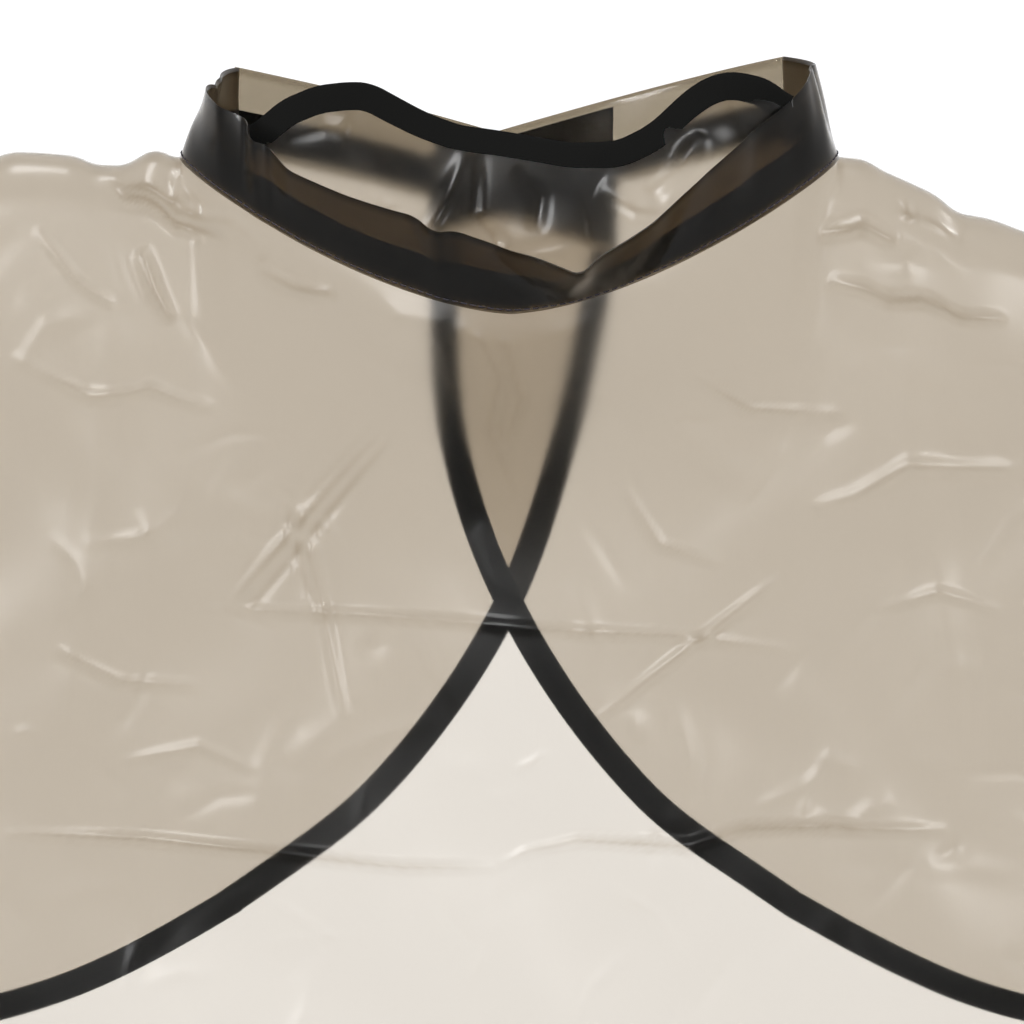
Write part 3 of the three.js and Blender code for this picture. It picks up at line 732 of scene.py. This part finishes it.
# ---- bound edges ----------------------------------------------------------------------
def build_bindings(settings):
    width = settings.binding_width / MM
    edge, inside = [], []

    def add(line_edge, line_inside):
        edge.extend(line_edge)
        inside.extend(line_inside)

    falls = {side: side_grid(side) for side in (-1, 1)}
    panels = {side: back_panel_grid(side) for side in (-1, 1)}
    front = front_grid()
    add(panels[-1][::3, -1], panels[-1][::3, -4])
    add(falls[-1][::-1, -1][1:], falls[-1][::-1, -4][1:])
    add(front[1:-1:4, -1], front[1:-1:4, -4])
    add(falls[1][:, -1], falls[1][:, -4])
    add(panels[1][::-3, -1][1:], panels[1][::-3, -4][1:])
    hem = folded_tape("edge_binding", np.array(edge), np.array(inside), width, MATERIALS["binding_tape"])
    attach(hem, "cape")
    nodes = ["hem_binding"]
    for label in ("left", "right"):
        nodes += [f"{label}_{run}_binding" for run in ("front_fall", "back_fall", "lower_back")]
    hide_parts(*nodes)
    for side, label in ((-1, "left"), (1, "right")):
        grid = flap_grid(side)
        past = panels[side][2:10:4, [-1, -4]]
        rim = np.concatenate([grid[:-6, 0], past[:, 0]])
        within = np.concatenate([grid[:-6, 8], past[:, 1]])
        tape = folded_tape(f"{label}_back_binding", rim, within, width, MATERIALS["binding_tape"])
        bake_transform(tape)
        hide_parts(f"{label}_back_edge_binding")


# ---- collar ---------------------------------------------------------------------------
# How the collar leans and how high it stands, round the neck from the left back: degrees
# round, lean outwards in degrees, height in millimetres.
COLLAR_STANCE = np.array([
    (-123, -4, 34), (-106, -22, 33), (-90, -27, 31), (-75, -14, 31), (-61, 0, 33),
    (-53, -6, 34), (-49.5, 11, 31), (-46, 3, 31), (-40, 15, 29), (-28, 18, 31), (-16, 14, 32),
    (-12.5, 26, 31), (-9, 18, 31.5), (-3, 24, 31), (4, 38, 30.5), (9, 52, 29.5), (11.5, 60, 29),
    (14, 50, 30), (19, 44, 30), (24, 36, 30), (30, 22, 31), (36, 10, 32), (48, -4, 34.5),
    (61, -10, 35), (75, -15, 36), (90, -18, 37), (105, -10, 35), (123, 0, 34),
], float)


def collar_frame(turn):
    """Seam point, unit direction up the collar and unit direction out, for turns."""
    degrees = np.degrees(turn)
    lean, height = (
        sum(np.interp(degrees + d, COLLAR_STANCE[:, 0], column) for d in (-1.2, -0.4, 0.4, 1.2)) / 4
        for column in COLLAR_STANCE.T[1:]
    )
    lean = np.radians(lean)
    x, y = NECK_X * np.sin(turn), -NECK_Y * np.cos(turn)
    side_seam = np.where(x < 0, back_seam(x, -1), back_seam(x, 1))
    z = np.where(np.abs(turn) > np.pi / 2, side_seam, front_seam(x))
    seam = np.stack([x, y, z], -1)
    level = np.zeros_like(turn)
    away = unit(np.stack([x / NECK_X ** 2, y / NECK_Y ** 2, level], -1))
    up = np.array([0, 0, 1.0]) * np.cos(lean)[:, None] + away * np.sin(lean)[:, None]
    out = away * np.cos(lean)[:, None] - np.array([0, 0, 1.0]) * np.sin(lean)[:, None]
    return seam, up, out, height


def strap_frame(side, x):
    step = outer_step(x) if side < 0 else 0
    seam = np.stack([x, neck_depth(x) + step, back_seam(x, side)], -1)
    tangent = unit(np.gradient(seam, axis=0))
    up = np.repeat(np.array([[0, 0, 1.0]]), len(x), 0)
    out = unit(np.cross(tangent, up))
    out *= np.sign(out[:, 1:2])
    return seam, up, out, np.full(len(x), STRAP_HEIGHT)


def ripple(seam, share):
    """How far a band stands out of its even shape: long swells and finer buckles."""
    run = seam[:, 0] + 1.7 * seam[:, 1]
    slow = np.sin(run / 15 + 2.2 * share) * np.sin(run / 41 + 0.5)
    fine = np.sin(run / 5.7 - 3.1 * share) * np.sin(run / 27)
    return (1.5 * slow + 0.45 * fine) * np.sin(np.pi * min(share, 1.0) * 0.9)


def folded_band(name, line, material):
    """Film folded at the top edge over the tape: down the outside and up the inside."""
    seam, up, out, height = line
    shares = np.concatenate([[0.0, 0.03], np.linspace(0.1, 0.96, 12)])
    profile = [(s, BAND_GAP) for s in shares]
    for a in np.linspace(0.3, 2.84, 5):
        profile.append((1 - 0.016 * (1 - math.cos(a)), BAND_GAP * math.cos(a)))
    profile += [(s, -BAND_GAP) for s in shares[::-1]]
    rows = [
        seam + up * (height * s)[:, None] + out * (o + ripple(seam, s))[:, None] for s, o in profile
    ]
    return film_object(name, [(np.stack(rows, 1), False)], BAND_THICKNESS, material)


def flat_band(name, line, material):
    """The stiffening tape in the middle of a folded band."""
    seam, up, out, height = line
    rows = []
    for rise in np.linspace(TAPE_LOW, TAPE_HIGH, 9):
        out_by = ripple(seam, rise / float(height.mean()))
        rows.append(seam + up * rise + out * out_by[:, None])
    return film_object(name, [(np.stack(rows, 1), False)], TAPE_THICKNESS, material)


def dress_band(label, line, body, blend=None):
    """Film, tape and stitches of one run of the collar or a strap."""
    # The collar round the neck takes the front tint with painted shade; the straps take the plain collar
    # tint.
    ply = MATERIALS["collar_front" if body == "cape" else "collar_film"]
    film = folded_band(f"{label}_film", line, ply)
    tape = flat_band(f"{label}_stiffener", line, MATERIALS["collar_tape"])
    seam, up, out, _ = line
    rows = []
    lift = ripple(seam, STITCHES_SHARE)
    for index, sign in enumerate((1, -1)):
        path = seam + up * STITCHES_ABOVE_SEAM + out * (sign * STITCHES_OUT + lift)[:, None]
        rows.append(stitches(f"{label}_stitches_{index}", path, out * sign, MATERIALS["thread"]))
    for piece in (film, tape, *rows):
        if blend:
            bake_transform(piece)
        else:
            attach(piece, body)
    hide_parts(f"{label}_outer_ply", f"{label}_inner_ply")
    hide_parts(f"{label}_tape")
    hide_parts(f"{label}_thread")


def build_collar():
    last = math.pi - math.asin(HINGE_X / NECK_X)
    dress_band("collar", collar_frame(np.linspace(-last, last, 380)), "cape")


def build_straps():
    for side, label in ((-1, "left_strap"), (1, "right_strap")):
        body = "left_back" if side < 0 else "right_back"
        x = side * np.linspace(HINGE_X, STRAP_ENDS[side], 110)
        line = strap_frame(side, x)
        if side < 0:
            line = tuple(part[::-1] for part in line)
        dress_band(label, line, body, blend_places(side))


def build_patches():
    """The hook patch and the loop patch that close the neck."""
    for side, name, inset, near in ((-1, "hook_patch", 1.5, -1), (1, "loop_patch", 3.5, 1)):
        end = side * STRAP_ENDS[side]
        x = np.linspace(end, end + side * PATCH_LENGTH, 60)
        seam, up, out, _ = strap_frame(side, x)
        high = STRAP_HEIGHT - inset
        rows = []
        for rise in np.linspace(high - PATCH_HEIGHT, high, 12):
            out_by = near * PATCH_OFFSET + ripple(seam, rise / STRAP_HEIGHT)
            rows.append(seam + up * rise + out * out_by[:, None])
        grid = np.stack(rows, 1)
        tape = MATERIALS[name[:4] + "_tape"]
        patch = film_object(name + "_piece", [(grid, False)], PATCH_THICKNESS, tape)
        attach(patch, "left_back" if side < 0 else "right_back")
        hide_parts(name)


# ---- neck guard -----------------------------------------------------------------------
GUARD_EDGE = np.array([
    (-107, 10), (-94, 17), (-87, 24), (-73, 30), (-60, 31.5), (-52, 31), (-43, 26), (-32, 20),
    (-19, 15), (-4, 13), (10, 10.5), (23, 8.2), (40, 8.6), (53, 15), (67, 28.5), (76, 34),
    (85, 35.5), (98, 32.5), (107, 25),
], float)


def guard_height(x):
    near = (-4, -2, 0, 2, 4)
    return sum(np.interp(x + d, GUARD_EDGE[:, 0], GUARD_EDGE[:, 1]) for d in near) / len(near)


GUARD_CREASES = [
    (-3.0, 3.0, [(-16, 6), (-24, -10), (-34, -26)]),
    (3.5, 3.0, [(-12, 6), (-14, -16), (-2, -28)]),
    (-4.0, 9.0, [(-4, -30), (14, -26), (30, -22)]),
    (-3.0, 6.0, [(-58, 20), (-50, 4), (-48, -14)]),
    (2.5, 4.0, [(-84, 12), (-70, 16), (-60, 14)]),
    (-3.0, 7.0, [(58, 10), (70, 16), (84, 22)]),
    (2.5, 4.0, [(52, -10), (64, 0), (72, 14)]),
    (-2.5, 4.0, [(34, -6), (48, -14), (60, -16)]),
    (2.0, 3.0, [(2, 0), (12, -10), (10, -22)]),
]


GUARD_END = 107
GUARD_ABOVE_SEAM = 2.5
GUARD_INSIDE = 2.2 + 0.9
GUARD_TOP_Y = -20
GUARD_BULGE = 7
GUARD_BULGE_REACH = 26
GUARD_WAVE = 1.1
GUARD_WAVE_LENGTH = 9
GUARD_ROWS = 56


def guard_grid():
    """The film strip from the collar's seam up to its wavy edge, leaning inwards."""
    x = np.linspace(-GUARD_END, GUARD_END, 2 * GUARD_END + 1)
    low = front_seam(x) + GUARD_ABOVE_SEAM
    low_y = GUARD_INSIDE - neck_depth(x)
    high_y = np.maximum(GUARD_TOP_Y, low_y + 1)
    high = guard_height(x)
    share = np.linspace(0, 1, GUARD_ROWS)[None, :]
    z = lerp(low[:, None], high[:, None], share)
    y = lerp(low_y[:, None], high_y[:, None], share)
    x = np.repeat(x[:, None], GUARD_ROWS, 1)
    slack = np.sin(np.pi * share)
    y = y + GUARD_BULGE * np.exp(-((x / GUARD_BULGE_REACH) ** 2)) * slack * -1.0
    y = y + GUARD_WAVE * np.sin(x / GUARD_WAVE_LENGTH + 2 * share) * slack
    y = y + 1.3 * creases(x, z, GUARD_CREASES) * slack
    return np.stack([x, y, z], -1)


def build_guard(settings):
    grid = guard_grid()
    guard = film_object("guard_film", [(grid, False)], settings.film_thickness / MM, MATERIALS["film"])
    width = settings.binding_width / MM
    tape = folded_tape("guard_binding", grid[:, -1], grid[:, -8], width, MATERIALS["binding_tape"], 0.5)
    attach(guard, "cape")
    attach(tape, "cape")
    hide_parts("neck_guard")
    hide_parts("neck_guard_binding")


# ---- stage ------------------------------------------------------------------------------
# Name, place, aim, size in metres and power in watts of each lamp.
LAMPS = [
    ("key", (-0.75, -2.4, -0.1), (0, 0, -0.1), 0.9, 105),
    ("fill", (0.85, -2.4, -0.15), (0, 0, -0.1), 0.8, 75),
    ("rim", (1.9, 0.3, 1.2), (0.05, 0, -0.05), 0.5, 60),
    ("side", (-1.9, -0.5, 0.8), (-0.05, 0, -0.05), 0.5, 60),
    ("top", (-0.3, -0.9, 2.2), (0, 0, -0.1), 0.8, 120),
]
FLOOR_HEIGHT = -1.10
WORLD_STRENGTH = 1.27
CAMERA_AIM = Vector((0.001, 0, -0.138))
CAMERA_DISTANCE = 2.5
CAMERA_ELEVATION = math.radians(12)
CAMERA_LENS = 228
LIGHT_BOUNCES = 28


def area_light(name, place, aim, size, power, lit):
    """A soft lamp that lights the cape alone and isn't seen through it."""
    light = bpy.data.lights.new(name, "AREA")
    light.shape = "DISK"
    light.size = size
    light.energy = power
    lamp = bpy.data.objects.new(name, light)
    lamp.location = place
    lamp.rotation_euler = (Vector(aim) - Vector(place)).to_track_quat("-Z", "Y").to_euler()
    lamp.visible_camera = False
    lamp.visible_transmission = False
    lamp.light_linking.receiver_collection = lit
    bpy.context.scene.collection.objects.link(lamp)
    lamp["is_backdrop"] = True


def build_stage():
    scene = bpy.context.scene
    paint, _, _, shader = new_material("pale_floor")
    shader.inputs["Base Color"].default_value = (0.9, 0.9, 0.9, 1)
    shader.inputs["Roughness"].default_value = 0.9
    bpy.ops.mesh.primitive_plane_add(size=80, location=(0, 0, FLOOR_HEIGHT))
    floor = bpy.context.object
    floor.name = "floor"
    floor.data.materials.append(paint)
    floor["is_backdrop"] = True
    world = bpy.data.worlds.new("studio")
    scene.world = world
    world.use_nodes = True
    background = world.node_tree.nodes["Background"]
    background.inputs["Color"].default_value = (0.98, 0.985, 1.0, 1)
    background.inputs["Strength"].default_value = WORLD_STRENGTH
    lit = bpy.data.collections.new("cape_only")
    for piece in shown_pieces():
        lit.objects.link(piece)
    for lamp in LAMPS:
        area_light(*lamp, lit)
    camera_data = bpy.data.cameras.new("camera")
    camera_data.sensor_width = 36
    camera_data.lens = CAMERA_LENS
    camera = bpy.data.objects.new("camera", camera_data)
    towards = Vector((0, -math.cos(CAMERA_ELEVATION), math.sin(CAMERA_ELEVATION)))
    camera.location = CAMERA_AIM + CAMERA_DISTANCE * towards
    camera.rotation_euler = (CAMERA_AIM - camera.location).to_track_quat("-Z", "Y").to_euler()
    scene.collection.objects.link(camera)
    scene.camera = camera
    scene.cycles.max_bounces = LIGHT_BOUNCES
    scene.cycles.transmission_bounces = LIGHT_BOUNCES
    scene.cycles.transparent_max_bounces = 16
    scene.cycles.use_denoising = True
    scene.view_settings.view_transform = "Standard"


class CapeSettings(bpy.types.PropertyGroup):
    """Sizes and finishes of the cape that a user may change."""
    film_tint: bpy.props.FloatVectorProperty(
        name="Film tint", description="Share of light one layer of film lets through",
        default=(0.69, 0.645, 0.58), size=3, subtype="COLOR", min=0, max=1,
    )
    collar_tint: bpy.props.FloatVectorProperty(
        name="Collar tint", description="Share of light one ply of the collar lets through",
        default=(0.57, 0.525, 0.45), size=3, subtype="COLOR", min=0, max=1,
    )
    # Painted shade: darker than the collar tint, standing in for the shaded inside seen through the
    # collar's front.
    collar_front_tint: bpy.props.FloatVectorProperty(
        name="Collar front tint with painted shade", description="Share of light one ply of the collar's front lets through",
        default=(0.25, 0.21, 0.155), size=3, subtype="COLOR", min=0, max=1,
    )
    film_roughness: bpy.props.FloatProperty(
        name="Frosting", description="How much the film blurs what is behind it",
        default=0.34, min=0, max=1, subtype="FACTOR",
    )
    film_thickness: bpy.props.FloatProperty(
        name="Film thickness", description="Thickness of the film",
        default=0.00025, min=0.0001, max=0.001, unit="LENGTH",
    )
    binding_width: bpy.props.FloatProperty(
        name="Binding width", description="Width of the folded tape on the edges",
        default=0.010, min=0.004, max=0.02, unit="LENGTH",
    )


class CAPE_OT_materials(bpy.types.Operator):
    """Makes the film, tape and thread finishes."""
    bl_idname = "cape.materials"
    bl_label = "Make finishes"

    def execute(self, context):
        build_materials(context.scene.barber_cape)
        return {"FINISHED"}


class CAPE_OT_body_film(bpy.types.Operator):
    """Builds the front, the shoulders, the sides and the back panels."""
    bl_idname = "cape.body_film"
    bl_label = "Body film"

    def execute(self, context):
        build_body_film(context.scene.barber_cape)
        return {"FINISHED"}


class CAPE_OT_back_films(bpy.types.Operator):
    """Builds the film of the two halves that open behind."""
    bl_idname = "cape.back_films"
    bl_label = "Back halves"

    def execute(self, context):
        build_back_films(context.scene.barber_cape)
        return {"FINISHED"}


class CAPE_OT_bindings(bpy.types.Operator):
    """Builds the folded tape on the cut edges."""
    bl_idname = "cape.bindings"
    bl_label = "Edge bindings"

    def execute(self, context):
        build_bindings(context.scene.barber_cape)
        return {"FINISHED"}


class CAPE_OT_collar(bpy.types.Operator):
    """Builds the collar with its stiffening tape and stitches."""
    bl_idname = "cape.collar"
    bl_label = "Collar"

    def execute(self, context):
        build_collar()
        return {"FINISHED"}


class CAPE_OT_straps(bpy.types.Operator):
    """Builds the two straps that close the neck."""
    bl_idname = "cape.straps"
    bl_label = "Straps"

    def execute(self, context):
        build_straps()
        return {"FINISHED"}


class CAPE_OT_patches(bpy.types.Operator):
    """Builds the hook patch and the loop patch."""
    bl_idname = "cape.patches"
    bl_label = "Patches"

    def execute(self, context):
        build_patches()
        return {"FINISHED"}


class CAPE_OT_guard(bpy.types.Operator):
    """Builds the bound film strip inside the collar."""
    bl_idname = "cape.guard"
    bl_label = "Neck guard"

    def execute(self, context):
        build_guard(context.scene.barber_cape)
        return {"FINISHED"}


class CAPE_OT_stage(bpy.types.Operator):
    """Sets the floor, the light and the camera."""
    bl_idname = "cape.stage"
    bl_label = "Stage"

    def execute(self, context):
        build_stage()
        return {"FINISHED"}


OPERATORS = [
    CAPE_OT_materials,
    CAPE_OT_body_film,
    CAPE_OT_back_films,
    CAPE_OT_bindings,
    CAPE_OT_collar,
    CAPE_OT_straps,
    CAPE_OT_patches,
    CAPE_OT_guard,
    CAPE_OT_stage,
]


class CAPE_PT_panel(bpy.types.Panel):
    """Builds the cape piece by piece."""
    bl_idname = "CAPE_PT_panel"
    bl_label = "Barber cape"
    bl_space_type = "VIEW_3D"
    bl_region_type = "UI"
    bl_category = "Cape"

    def draw(self, context):
        settings = context.scene.barber_cape
        for name in settings.__annotations__:
            self.layout.prop(settings, name)
        for kind in OPERATORS:
            self.layout.operator(kind.bl_idname)


CLASSES = [CapeSettings, *OPERATORS, CAPE_PT_panel]


def register():
    for kind in CLASSES:
        bpy.utils.register_class(kind)
    bpy.types.Scene.barber_cape = bpy.props.PointerProperty(type=CapeSettings)


def unregister():
    del bpy.types.Scene.barber_cape
    for kind in reversed(CLASSES):
        bpy.utils.unregister_class(kind)


def main():
    register()
    for kind in OPERATORS:
        group, name = kind.bl_idname.split(".")
        getattr(getattr(bpy.ops, group), name)()


if __name__ == "__main__":
    main()
